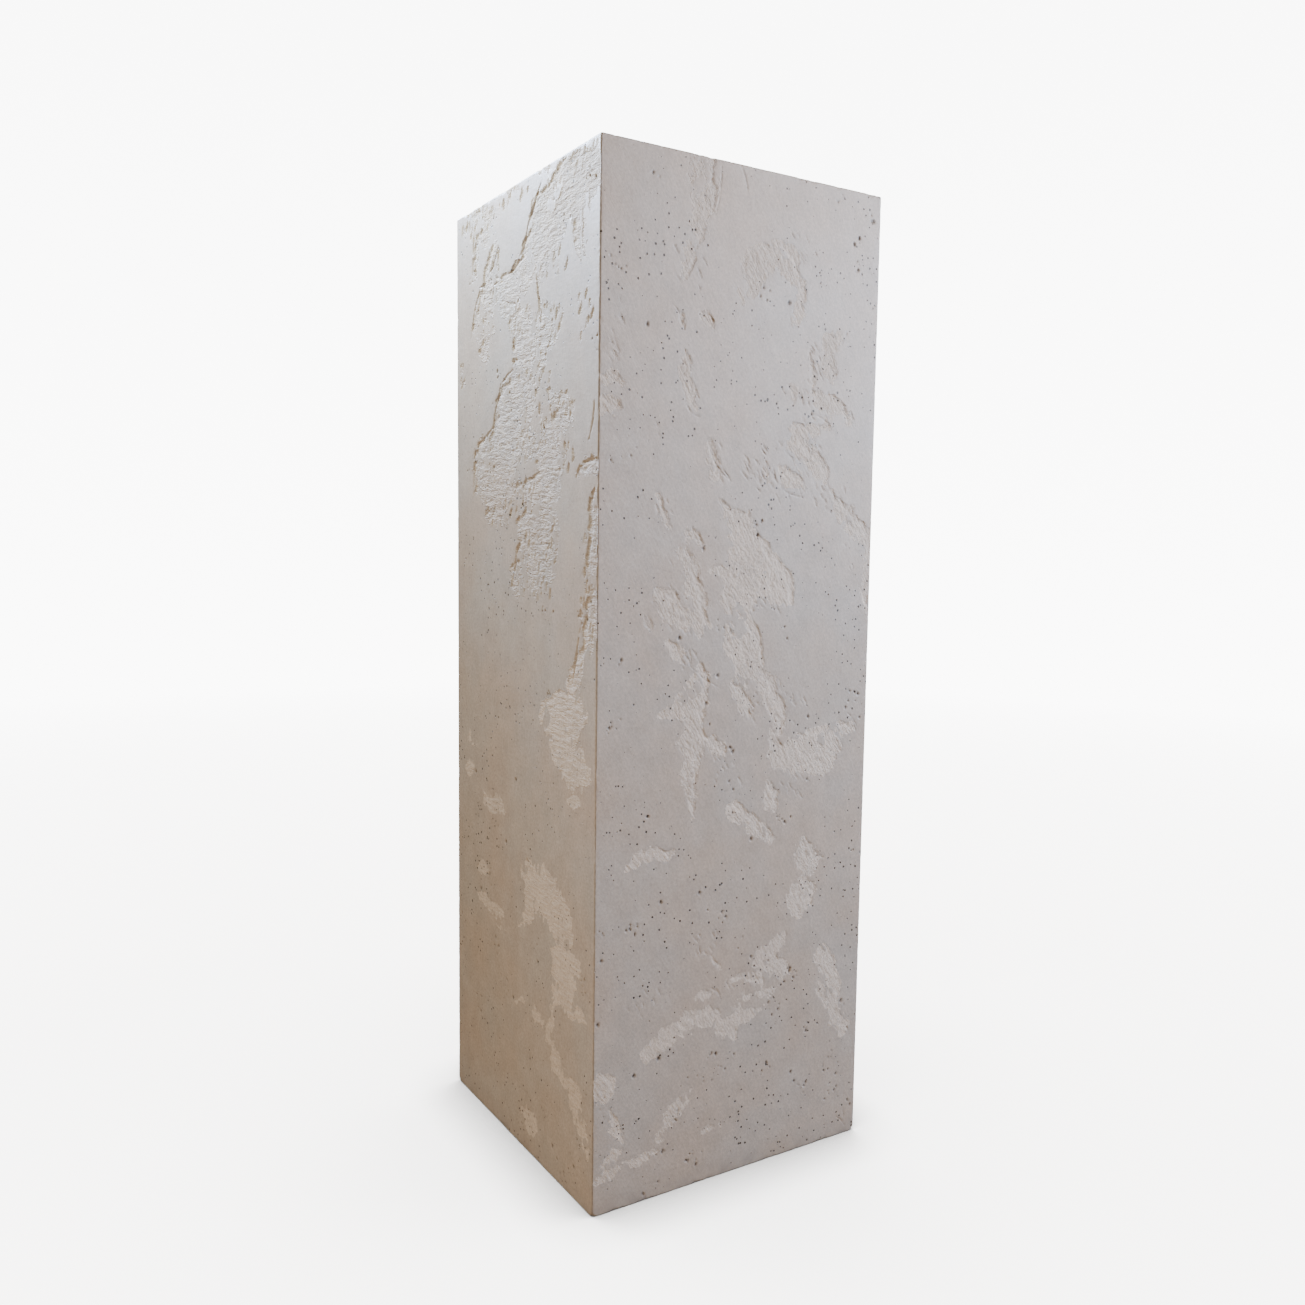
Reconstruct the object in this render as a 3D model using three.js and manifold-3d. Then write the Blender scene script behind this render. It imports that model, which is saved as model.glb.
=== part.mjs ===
// Column base block: a tall square pier of pale grey lime concrete, cast in one piece and trowelled smooth.
// It stands on its own underside and carries a column, an urn or a figure on its flat top.
// The trowel leaves a thin burnished skin, and skips over hollows where the rough base coat stays open.
// Those skips are the relief that shows from a step away: shallow sunk fields with ragged outlines.
// Millimetres, +Z up, origin at the middle of the underside. The front face looks along -Y, the left one along -X.

import * as THREE from "three";
import { mergeVertices } from "three/addons/utils/BufferGeometryUtils.js";
import Module from "manifold-3d";

// Driving dimensions
const WIDTH = 330; // along X
const DEPTH = 330; // along Y
const HEIGHT = 1000;
const ARRIS = 1.6; // flat easing along every edge
const TOE_WEAR = 6; // how far the four bottom corners are worn off, measured along each edge
const SKIN = 1.5; // thickness of the trowelled skin, which is the depth of the skips

// Drawing of the skips
const SHEET = { width: 330, height: 1000 }; // the face that the skips below are drawn on
const OUTLINE_STEP = 13; // spacing of the points along a skip's side
const RAGGED = 4; // how far the outline of a wide skip strays to either side
const RAGGED_SHARE = 0.18; // how far a narrow one strays, as a share of its width
const BLUNTNESS = 0.45; // shape of a skip's tips: 1 is a lens, and a smaller number is blunter
const OVERRUN = 2; // how far a cutter stands proud of the face, so that it cuts clean

const wasm = await Module();
wasm.setup();

// Each row is one pass where the trowel skipped, measured on the sheet from its lower left corner:
// start across, start up, end across, end up and width. Two more are given where they aren't the usual ones:
// how far the run bows to its left, and the share of the run where it is widest.
// The rows go from the top of the face to its foot.
const FRONT_SKIPS = [
  [112, 1012, 108, 934, 31],
  [106, 948, 88, 880, 18, 2, 0.2],
  [156, 868, 200, 930, 26, 9, 0.6],
  [186, 930, 234, 880, 26, 8, 0.3],
  [230, 896, 216, 852, 11, 2],
  [104, 856, 128, 840, 10, 5],
  [90, 826, 108, 760, 15, -3, 0.3],
  [-8, 787, 32, 785, 14],
  [-8, 768, 27, 764, 17],
  [290, 862, 256, 838, 18, 0, 0.7],
  [262, 846, 268, 802, 18],
  [232, 794, 300, 768, 16, 5],
  [204, 756, 272, 762, 15],
  [208, 748, 268, 702, 24, 8],
  [200, 718, 242, 700, 17, 0, 0.6],
  [266, 702, 336, 644, 19, -3, 0.6],
  [326, 660, 322, 570, 13],
  [120, 746, 140, 698, 13, -5],
  [126, 686, 182, 648, 22, 3, 0.7],
  [146, 652, 226, 582, 40, 5, 0.6],
  [118, 616, 186, 604, 32, 5, 0.7],
  [164, 646, 158, 548, 44],
  [158, 572, 180, 508, 44],
  [82, 650, 114, 548, 20, 8, 0.6],
  [58, 604, 104, 560, 30, 0, 0.6],
  [74, 552, 94, 528, 13],
  [114, 532, 108, 388, 28, -4],
  [64, 474, 108, 494, 20, 0, 0.7],
  [116, 458, 152, 436, 16, 0, 0.3],
  [152, 512, 176, 468, 17],
  [188, 518, 214, 448, 22, 4],
  [204, 458, 214, 408, 24, 0, 0.6],
  [208, 424, 296, 430, 50, 0, 0.6],
  [264, 448, 322, 446, 15, 6, 0.6],
  [200, 406, 212, 368, 16],
  [146, 386, 212, 340, 18, 2],
  [28, 334, 92, 340, 12, 8, 0.6],
  [246, 342, 262, 298, 34, 0, 0.6],
  [247, 302, 247, 252, 37, 0, 0.3],
  [234, 244, 184, 208, 20, 0, 0.7],
  [196, 218, 236, 198, 22],
  [116, 196, 140, 193, 13],
  [165, 182, 220, 183, 12],
  [144, 168, 170, 138, 24],
  [156, 162, 202, 170, 16, 0, 0.2],
  [150, 173, 44, 130, 22, -13, 0.35],
  [10, 146, 14, 110, 24],
  [11, 106, 36, 56, 15, 3, 0.75],
  [40, 62, 6, 48, 11],
  [118, 102, 66, 52, 16, -2],
  [275, 222, 296, 144, 30, 1, 0.6],
  [288, 158, 322, 110, 16, -3, 0.7],
];

const LEFT_SKIPS = [
  [48, 992, 98, 984, 20],
  [54, 968, 92, 966, 16],
  [53, 956, 56, 918, 13],
  [184, 962, 338, 966, 54, 3, 0.6],
  [166, 936, 270, 938, 34],
  [112, 906, 230, 914, 36, 0, 0.6],
  [60, 902, 174, 894, 42],
  [46, 872, 104, 862, 24],
  [60, 846, 92, 838, 18],
  [281, 942, 292, 894, 12],
  [134, 868, 204, 860, 24],
  [146, 842, 250, 842, 38],
  [146, 824, 226, 818, 22],
  [100, 790, 208, 798, 28],
  [98, 762, 202, 778, 38],
  [44, 736, 172, 744, 36],
  [44, 720, 162, 722, 44],
  [48, 698, 156, 694, 30],
  [76, 674, 148, 668, 20],
  [222, 790, 280, 768, 15],
  [210, 752, 282, 756, 28],
  [156, 742, 212, 738, 28],
  [200, 722, 268, 716, 38],
  [146, 696, 256, 690, 32, 0, 0.6],
  [154, 662, 258, 658, 38],
  [156, 636, 256, 632, 34],
  [140, 612, 252, 614, 24, 0, 0.3],
  [138, 595, 214, 598, 15, 0, 0.3],
  [284, 706, 338, 714, 17, 0, 0.7],
  [320, 704, 320, 608, 22, 0, 0.7],
  [320, 604, 314, 540, 26],
  [310, 550, 278, 494, 23],
  [210, 466, 316, 480, 52],
  [238, 440, 326, 420, 38],
  [272, 400, 304, 396, 15],
  [26, 428, 62, 410, 15],
  [20, 378, 50, 394, 19],
  [70, 352, 136, 358, 18, 4],
  [166, 302, 288, 254, 50, 10],
  [174, 248, 204, 286, 22],
  [52, 274, 92, 280, 16, 0, 0.7],
  [54, 246, 132, 238, 12],
  [236, 236, 304, 236, 28, 0, 0.6],
  [238, 212, 300, 214, 25],
  [240, 198, 322, 188, 20],
  [250, 196, 232, 136, 15, 2, 0.6],
  [230, 152, 266, 108, 18, 0, 0.3],
  [254, 112, 310, 114, 16, 0, 0.6],
  [280, 118, 322, 52, 22, 4],
  [192, 160, 226, 152, 16],
  [168, 36, 218, 34, 26],
];

// Numbers from 0 to 1 that come out the same on every run
function seededNumbers(seed) {
  let state = seed;
  return () => {
    state = (state + 0x6d2b79f5) | 0;
    let mixed = Math.imul(state ^ (state >>> 15), 1 | state);
    mixed = (mixed + Math.imul(mixed ^ (mixed >>> 7), 61 | mixed)) ^ mixed;
    return ((mixed ^ (mixed >>> 14)) >>> 0) / 4294967296;
  };
}

// The two faces that the wall side shows less of: skips strewn by chance, fewer and plainer
function strewnSkips(seed, count) {
  const next = seededNumbers(seed);
  const between = (low, high) => low + (high - low) * next();
  return Array.from({ length: count }, (_, row) => {
    const across = between(0.05, 0.85) * SHEET.width;
    const up = ((row + between(0.2, 0.8)) / count) * SHEET.height;
    const run = between(34, 120);
    const slope = between(-0.9, 0.5);
    const end = [across + run * Math.cos(slope), up + run * Math.sin(slope)];
    return [across, up, ...end, between(10, 34), between(-6, 8), between(0.3, 0.7)];
  });
}

// Ragged leaf-shaped outline of one skip, down one side of its bowed run and back up the other
function skipOutline([startAcross, startUp, endAcross, endUp, width, bow = 0, widest = 0.45], next) {
  const start = new THREE.Vector2(startAcross, startUp);
  const end = new THREE.Vector2(endAcross, endUp);
  const run = end.clone().sub(start);
  const left = new THREE.Vector2(-run.y, run.x).normalize();
  const middle = start.clone().lerp(end, 0.5).addScaledVector(left, 2 * bow);
  const spine = new THREE.QuadraticBezierCurve(start, middle, end);
  const steps = THREE.MathUtils.clamp(Math.round(run.length() / OUTLINE_STEP), 3, 9);
  const skew = Math.log(0.5) / Math.log(widest);
  const stray = Math.min(RAGGED, RAGGED_SHARE * width);
  const side = (sign) =>
    Array.from({ length: steps - 1 }, (_, i) => {
      const along = (i + 1) / steps;
      const point = spine.getPoint(along);
      const across = spine.getTangent(along).rotateAround(new THREE.Vector2(), Math.PI / 2);
      const half = (width / 2) * Math.sin(Math.PI * along ** skew) ** BLUNTNESS;
      return point.addScaledVector(across, sign * (half + (2 * next() - 1) * stray));
    });
  return [start, ...side(-1), end, ...side(1).reverse()];
}

// A closed three.js geometry as a solid that can be joined and cut
function solidOf(geometry) {
  const bare = geometry.index ? geometry.toNonIndexed() : geometry.clone();
  bare.deleteAttribute("normal");
  bare.deleteAttribute("uv");
  const merged = mergeVertices(bare, 1e-4);
  const mesh = new wasm.Mesh({
    numProp: 3,
    vertProperties: merged.getAttribute("position").array,
    triVerts: new Uint32Array(merged.index.array),
  });
  return new wasm.Manifold(mesh);
}

// A solid as a three.js geometry
function geometryOf(solid) {
  const mesh = solid.getMesh();
  const geometry = new THREE.BufferGeometry();
  geometry.setAttribute("position", new THREE.BufferAttribute(mesh.vertProperties, 3));
  geometry.setIndex(new THREE.BufferAttribute(mesh.triVerts, 1));
  geometry.computeVertexNormals();
  return geometry;
}

// The plain block: a square prism with every edge eased
function plainBlock() {
  const [x, y] = [WIDTH / 2, DEPTH / 2];
  const plan = new THREE.Shape([
    new THREE.Vector2(-x + ARRIS, -y),
    new THREE.Vector2(x - ARRIS, -y),
    new THREE.Vector2(x, -y + ARRIS),
    new THREE.Vector2(x, y - ARRIS),
    new THREE.Vector2(x - ARRIS, y),
    new THREE.Vector2(-x + ARRIS, y),
    new THREE.Vector2(-x, y - ARRIS),
    new THREE.Vector2(-x, -y + ARRIS),
  ]);
  const prism = new THREE.ExtrudeGeometry(plan, {
    depth: HEIGHT - 2 * ARRIS,
    bevelThickness: ARRIS,
    bevelSize: ARRIS,
    bevelOffset: -ARRIS,
    bevelSegments: 1,
  });
  return solidOf(prism.translate(0, 0, ARRIS));
}

// Takes the worn tip off one bottom corner: a slab whose inner face crosses all three edges at the same distance
function toeWear(xSide, ySide) {
  const corner = new THREE.Vector3((xSide * WIDTH) / 2, (ySide * DEPTH) / 2, 0);
  const outward = new THREE.Vector3(xSide, ySide, -1).normalize();
  const size = 6 * TOE_WEAR;
  const slab = new THREE.BoxGeometry(size, size, size);
  slab.translate(0, 0, size / 2 - TOE_WEAR / Math.sqrt(3));
  slab.applyQuaternion(new THREE.Quaternion().setFromUnitVectors(new THREE.Vector3(0, 0, 1), outward));
  return solidOf(slab.translate(corner.x, corner.y, corner.z));
}

// A face of the block, with its width, the place of its lower left corner seen from outside, and its directions
function face(width, corner, across, outward, skips, seed) {
  const up = new THREE.Vector3(0, 0, 1);
  const place = new THREE.Matrix4().makeBasis(across, up, outward).setPosition(corner);
  return { width, place, skips, next: seededNumbers(seed) };
}

const [HALF_X, HALF_Y] = [WIDTH / 2, DEPTH / 2];
const X = new THREE.Vector3(1, 0, 0);
const Y = new THREE.Vector3(0, 1, 0);
const FACES = [
  face(WIDTH, new THREE.Vector3(-HALF_X, -HALF_Y, 0), X, Y.clone().negate(), FRONT_SKIPS, 11),
  face(DEPTH, new THREE.Vector3(-HALF_X, HALF_Y, 0), Y.clone().negate(), X.clone().negate(), LEFT_SKIPS, 23),
  face(WIDTH, new THREE.Vector3(HALF_X, HALF_Y, 0), X.clone().negate(), Y, strewnSkips(5, 15), 37),
  face(DEPTH, new THREE.Vector3(HALF_X, -HALF_Y, 0), Y, X, strewnSkips(8, 15), 41),
];

// All the skips of one face as one cutter that reaches through the skin
function skipCutter({ width, place, skips, next }) {
  const stretch = new THREE.Vector2(width / SHEET.width, HEIGHT / SHEET.height);
  const cutters = skips.map((skip) => {
    const outline = skipOutline(skip, next).map((point) => point.multiply(stretch));
    const field = new THREE.ExtrudeGeometry(new THREE.Shape(outline), {
      depth: SKIN + OVERRUN,
      bevelEnabled: false,
    });
    return solidOf(field.translate(0, 0, -SKIN).applyMatrix4(place));
  });
  return cutters.reduce((all, cutter) => all.add(cutter));
}

function columnBaseBlock() {
  let block = plainBlock();
  for (const side of FACES) block = block.subtract(skipCutter(side));
  for (const [x, y] of [[-1, -1], [1, -1], [1, 1], [-1, 1]]) block = block.subtract(toeWear(x, y));
  const concrete = new THREE.MeshStandardMaterial({ color: 0xb4ada6, roughness: 0.8, metalness: 0 });
  const mesh = new THREE.Mesh(geometryOf(block), concrete);
  mesh.name = "column_base_block";
  return mesh;
}

const part = new THREE.Group();
part.add(columnBaseBlock());

export default part;
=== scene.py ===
"""Column base block in trowelled lime concrete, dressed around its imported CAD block.

The real block is cast in one piece and finished with a steel trowel. The trowel leaves a thin, burnished
and slightly darker skin, and skips over hollows where the rough, paler base coat stays open. Seen close to,
a skip is a shallow sunk field: cut sharp along its upper outer edge, combed on its floor and feathered out
below. Air bubbles of the casting leave pores all over.

All lengths are in metres, in the frame of the CAD model.
"""

import logging
import math
from dataclasses import dataclass, field
from enum import Enum

import bmesh
import bpy
import numpy as np
from mathutils import Matrix, Vector
from mathutils.bvhtree import BVHTree


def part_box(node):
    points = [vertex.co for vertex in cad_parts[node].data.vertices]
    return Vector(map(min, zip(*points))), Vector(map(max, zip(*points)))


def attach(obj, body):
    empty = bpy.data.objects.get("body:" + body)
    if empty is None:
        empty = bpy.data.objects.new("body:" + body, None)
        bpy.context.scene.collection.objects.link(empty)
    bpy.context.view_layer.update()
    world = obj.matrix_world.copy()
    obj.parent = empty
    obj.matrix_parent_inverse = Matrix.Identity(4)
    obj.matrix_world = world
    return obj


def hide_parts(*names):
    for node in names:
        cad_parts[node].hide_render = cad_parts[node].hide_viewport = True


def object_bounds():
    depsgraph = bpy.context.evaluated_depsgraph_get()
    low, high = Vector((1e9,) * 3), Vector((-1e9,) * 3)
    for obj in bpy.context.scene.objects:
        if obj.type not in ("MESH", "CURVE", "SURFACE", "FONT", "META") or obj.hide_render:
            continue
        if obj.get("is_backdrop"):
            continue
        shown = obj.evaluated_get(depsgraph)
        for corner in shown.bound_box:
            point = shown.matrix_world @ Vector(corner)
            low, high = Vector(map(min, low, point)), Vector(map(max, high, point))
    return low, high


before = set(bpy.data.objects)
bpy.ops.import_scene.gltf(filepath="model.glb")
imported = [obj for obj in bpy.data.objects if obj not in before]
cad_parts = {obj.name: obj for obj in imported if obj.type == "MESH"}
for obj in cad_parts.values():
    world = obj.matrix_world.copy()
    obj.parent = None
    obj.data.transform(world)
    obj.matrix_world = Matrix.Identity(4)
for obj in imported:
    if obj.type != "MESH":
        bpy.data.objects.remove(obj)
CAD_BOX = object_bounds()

LOG = logging.getLogger("column_base_block")
MM = 0.001
BODY = "root"
NODE = "column_base_block"
Array = np.ndarray
Marks = tuple[tuple[float, ...], ...]
Socket = bpy.types.NodeSocket
Patterns = list[tuple[Socket, float]]


def linear(srgb: str) -> tuple[float, float, float, float]:
    """Turns an sRGB hex colour into the linear colour that shaders and lights take.

    Args:
        srgb: the colour, such as "#B3ADA6".

    Returns:
        Red, green, blue and a full alpha.
    """
    shares = [int(srgb[i : i + 2], 16) / 255 for i in (1, 3, 5)]
    red, green, blue = (s / 12.92 if s <= 0.04045 else ((s + 0.055) / 1.055) ** 2.4 for s in shares)
    return red, green, blue, 1.0


def ramp(low: float, high: float, value: Array) -> Array:
    """Gives each value a share that rises smoothly from 0 at low to 1 at high."""
    share = np.clip((value - low) / (high - low), 0.0, 1.0)
    return share * share * (3 - 2 * share)


def blend(values: Array, rows: list[Array], columns: list[Array], share_r: Array, share_c: Array) -> Array:
    """Blends the values at the four places around each spot, by its shares up the rows and across."""
    left, right = columns
    low, high = (values[row, left] * (1 - share_c) + values[row, right] * share_c for row in rows)
    return low * (1 - share_r) + high * share_r


def read_points(mesh: bpy.types.Mesh) -> Array:
    """Reads the places of all mesh points, one per row."""
    points = np.empty(3 * len(mesh.vertices), np.float32)
    mesh.vertices.foreach_get("co", points)
    return points.reshape(-1, 3)


class Side(Enum):
    """The four upright sides, anticlockwise from above. Each value is its outward direction."""

    LEFT = (-1, 0)
    FRONT = (0, -1)
    RIGHT = (1, 0)
    BACK = (0, 1)

    @property
    def outward(self) -> Array:
        """Direction that the side faces."""
        return np.array([*self.value, 0.0])

    @property
    def across(self) -> Array:
        """Direction from the side's left arris to its right one, seen from outside."""
        return np.array([-self.value[1], self.value[0], 0.0])

    @property
    def is_shown(self) -> bool:
        """Whether the photograph shows the side."""
        return self in (Side.LEFT, Side.FRONT)

    @property
    def seed(self) -> int:
        """First of the side's own chance patterns."""
        return 1000 * (1 + list(Side).index(self))


@dataclass(frozen=True)
class BlockSize:
    """Sizes of the block, taken from its CAD node."""

    width: float
    height: float

    @classmethod
    def of_node(cls, node: str) -> "BlockSize":
        """Measures the CAD node."""
        low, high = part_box(node)
        return cls(width=high.x - low.x, height=high.z - low.z)

    def corner(self, side: Side) -> Array:
        """Foot of the side's left arris, seen from outside."""
        return (side.outward - side.across) * self.width / 2


@dataclass(frozen=True)
class Grid:
    """Regular places on one side, counted from its lower left corner.

    Attributes:
        size: the block's sizes.
        pitch: distance between two places.
    """

    size: BlockSize
    pitch: float

    @property
    def shape(self) -> tuple[int, int]:
        """Number of rows and columns."""
        return int(round(self.size.height / self.pitch)) + 1, int(round(self.size.width / self.pitch)) + 1

    def places(self) -> tuple[Array, Array]:
        """Distance across the side and height of every place."""
        rows, columns = self.shape
        return tuple(np.meshgrid(np.arange(columns) * self.pitch, np.arange(rows) * self.pitch))

    def part(self, values: Array, low: Array, high: Array) -> tuple[Array, Array, Array]:
        """Cuts out the values between two corners.

        Args:
            values: one value for every place.
            low: lower left corner, across and up.
            high: upper right corner, across and up.

        Returns:
            That part of the values, which may be empty, its distances across the side and its heights.
        """
        first = np.maximum(np.floor(low / self.pitch).astype(int), 0)
        last = np.maximum(np.ceil(high / self.pitch).astype(int) + 1, 0)
        part = values[first[1] : last[1], first[0] : last[0]]
        up, across = np.ogrid[: part.shape[0], : part.shape[1]]
        return part, (across + first[0]) * self.pitch, (up + first[1]) * self.pitch

    def read(self, values: Array, across: Array, up: Array) -> Array:
        """Reads values between the places that they belong to.

        Args:
            values: one value for every place.
            across: distances across the side.
            up: heights on the side.

        Returns:
            The value at each of the given spots.
        """
        rows, columns = values.shape
        along = np.clip(across / self.pitch, 0, columns - 1.001)
        rise = np.clip(up / self.pitch, 0, rows - 1.001)
        column, row = along.astype(int), rise.astype(int)
        return blend(values, [row, row + 1], [column, column + 1], rise - row, along - column)

    def soften(self, values: Array, spread: float) -> Array:
        """Blurs values by a bell curve.

        Args:
            values: one value for every place.
            spread: spread of the curve.

        Returns:
            The blurred values.
        """
        reach = int(math.ceil(2.5 * spread / self.pitch))
        weights = np.exp(-0.5 * (np.arange(-reach, reach + 1) * self.pitch / spread) ** 2)
        weights /= weights.sum()
        rows, columns = values.shape
        padded = np.pad(values, reach, mode="edge")
        upright = sum(weight * padded[i : i + rows, :] for i, weight in enumerate(weights))
        return sum(weight * upright[:, i : i + columns] for i, weight in enumerate(weights))


@dataclass(frozen=True)
class Mottle:
    """A smooth chance pattern from -1 to 1, with patches of a given size that may lean.

    Attributes:
        seed: picks the pattern.
        across: width of a patch.
        up: height of a patch.
        lean_deg: turn of the patches, anticlockwise seen from outside.
        cells: number of patches after which the pattern starts again.
    """

    seed: int
    across: float
    up: float
    lean_deg: float = 0.0
    cells: int = 512

    def at(self, across: Array, up: Array) -> Array:
        """Reads the pattern.

        Args:
            across: distances across the side.
            up: heights on the side.

        Returns:
            The pattern's value at each spot.
        """
        lean = math.radians(self.lean_deg)
        along = (across * math.cos(lean) + up * math.sin(lean)) / self.across
        rise = (up * math.cos(lean) - across * math.sin(lean)) / self.up
        column, row = np.floor(along).astype(int), np.floor(rise).astype(int)
        share_r, share_c = ramp(0, 1, rise - row), ramp(0, 1, along - column)
        values = np.random.default_rng(self.seed).uniform(-1, 1, (self.cells, self.cells))
        rows, columns = ([first % self.cells, (first + 1) % self.cells] for first in (row, column))
        return blend(values, rows, columns, share_r, share_c)


@dataclass(frozen=True)
class Stroke:
    """A narrow mark that thins out to both ends.

    Attributes:
        start: where it starts, across and up.
        end: where it ends.
        bow: how far its middle stands off to the left of the line from start to end.
        width: its full width in the middle.
        steps: number of round dabs that it is made of.
    """

    start: tuple[float, float]
    end: tuple[float, float]
    bow: float
    width: float
    steps: int = 12

    @classmethod
    def in_mm(cls, ends: list[float], bow: float, width: float, steps: int = 12) -> "Stroke":
        """Makes a mark from millimetres: its ends as start across and up and end across and up."""
        start_a, start_u, end_a, end_u = (number * MM for number in ends)
        return cls((start_a, start_u), (end_a, end_u), bow * MM, width * MM, steps)

    def press(self, grid: Grid, values: Array, strength: float) -> None:
        """Raises the values under the mark to the given strength.

        Args:
            grid: the side's places.
            values: one value for every place, changed in place.
            strength: value in the middle of the mark.
        """
        start, end = np.array(self.start), np.array(self.end)
        length = np.hypot(*(end - start))
        left = np.array([start[1] - end[1], end[0] - start[0]]) / length
        reach = abs(self.bow) + self.width
        low, high = np.minimum(start, end) - reach, np.maximum(start, end) + reach
        part, across, up = grid.part(values, low, high)
        for share in np.linspace(0, 1, self.steps):
            swell = 4 * share * (1 - share)
            middle = start + (end - start) * share + left * self.bow * swell
            radius = self.width / 2 * (0.35 + 0.65 * swell)
            distance = np.hypot(across - middle[0], up - middle[1]) / radius
            np.maximum(part, strength * ramp(1.25, 0.55, distance), out=part)


@dataclass(frozen=True)
class Pore:
    """An air bubble that the trowel opened, round or slightly drawn out upwards.

    Attributes:
        across: distance of its middle across the side.
        up: height of its middle.
        radius: half its width.
        stretch: how much taller than wide it is.
    """

    across: float
    up: float
    radius: float
    stretch: float

    def press(self, grid: Grid, values: Array) -> None:
        """Raises the values under the pore, to 1 at its bottom.

        Args:
            grid: the side's places.
            values: one value for every place, changed in place.
        """
        place, reach = np.array([self.across, self.up]), self.radius * self.stretch
        part, across, up = grid.part(values, place - reach, place + reach)
        away_a = (across - self.across) / self.radius
        away_u = (up - self.up) / self.radius / self.stretch
        np.maximum(part, np.sqrt(np.clip(1 - away_a**2 - away_u**2, 0, 1)), out=part)


@dataclass(frozen=True)
class TrowelHand:
    """How the trowel went over one side, and what it left there.

    Attributes:
        lip: direction from a skip towards its sharp edge, across and up.
        drag_deg: lean of the drag marks and ragged edges, anticlockwise from upright.
        comb: width, height and lean in degrees of the streaks on the floor of a skip, in millimetres.
        pore_count: number of pores in the mesh.
        pores: places of the larger ones, in millimetres from the lower left corner.
        scores: fine dark lines as start, end and bow, in the same measure.
        dragged: where drag marks crowd, as ovals with their middle, half sizes and number of marks.
        small_skips: skips too small for the CAD block, as start, end, width and bow, in the same measure.
        calm: heights between which the relief grows, in the same measure, and the share of it below them.
        cut: depth of a skip along its sharp edge.
        tear: depth of the drag marks.
        score: depth of the fine dark lines.
        pore_depth: depth of the pores in the mesh.
        wave: depth of the gentle waves of the skin.
        grit: roughness of the open coat, as a share of the usual one.
        fade: how little the open coat's own colour shows where the relief is strongest.
        mark: width of the drag marks and the fine lines, as a share of the usual one.
    """

    lip: tuple[float, float] = (0.75, 0.65)
    drag_deg: float = 33.0
    comb: tuple[float, float, float] = (2.6, 9.0, 33.0)
    pore_count: int = 90
    pores: Marks = ()
    scores: Marks = ()
    dragged: Marks = ()
    small_skips: Marks = ()
    calm: tuple[float, float, float] = (150.0, 450.0, 0.6)
    cut: float = 1.1 * MM
    tear: float = 0.9 * MM
    score: float = 0.6 * MM
    pore_depth: float = 1.4 * MM
    wave: float = 0.12 * MM
    grit: float = 0.5
    fade: float = 0.15
    mark: float = 1.0


# Read off the photograph for the two sides that it shows. The other two are plainer.
LEFT_HAND = TrowelHand(
    lip=(-0.85, 0.5),
    drag_deg=-16.0,
    comb=(16.0, 3.2, 8.0),
    calm=(400.0, 640.0, 0.25),
    cut=1.5 * MM,
    tear=1.4 * MM,
    score=1.0 * MM,
    wave=0.25 * MM,
    grit=1.6,
    fade=0.6,
    mark=1.8,
    pore_count=170,
    pores=((12, 209), (152, 155), (134, 322), (158, 394), (52, 384), (246, 33), (292, 33)),
    scores=(
        (50, 978, 46, 926, -2), (113, 949, 84, 921, 3), (90, 925, 64, 914, 3), (67, 914, 41, 864, -4),
        (214, 987, 180, 947, -3), (183, 953, 168, 931, 2), (173, 935, 136, 916, 5),
        (126, 911, 100, 911, 0), (149, 850, 148, 812, 1), (149, 817, 115, 800, -3),
        (120, 805, 98, 760, -2), (103, 765, 56, 748, 2), (202, 902, 209, 862, 1), (166, 886, 130, 889, 4),
        (288, 702, 296, 714, 1), (300, 715, 322, 718, 0), (282, 508, 299, 566, 0), (322, 770, 312, 735, 2),
        (160, 640, 146, 600, 2), (50, 745, 48, 690, -1),
    ),
    dragged=(
        (172, 862, 24, 12, 22), (228, 850, 30, 20, 26), (178, 735, 24, 12, 18), (262, 770, 24, 14, 18),
        (255, 722, 28, 14, 20), (186, 741, 20, 8, 12), (240, 768, 34, 12, 14), (180, 690, 40, 14, 20),
        (215, 640, 38, 30, 44), (120, 672, 40, 14, 18), (195, 800, 40, 14, 16), (90, 905, 20, 14, 10),
        (240, 905, 30, 12, 10), (110, 935, 22, 10, 10), (78, 846, 14, 12, 8), (18, 828, 10, 16, 8),
        (300, 850, 16, 26, 14), (205, 596, 42, 10, 18), (312, 640, 12, 50, 12), (308, 560, 14, 40, 12),
        (60, 975, 30, 12, 10), (140, 985, 60, 8, 14), (275, 990, 50, 6, 14), (25, 985, 20, 8, 6),
    ),
    small_skips=(
        (108, 952, 74, 916, 13, -4), (64, 892, 46, 866, 10, -3), (54, 975, 48, 925, 9, 3),
        (204, 900, 216, 862, 7, -2), (150, 155, 184, 158, 6, 2), (104, 220, 136, 221, 7, 2),
        (150, 229, 196, 252, 6, 2), (296, 940, 300, 900, 8, 1), (255, 985, 262, 950, 10, 2),
        (30, 1000, 60, 985, 10, 2), (128, 1000, 160, 990, 9, 2), (200, 1000, 240, 996, 6, 0),
    ),
)
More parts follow.
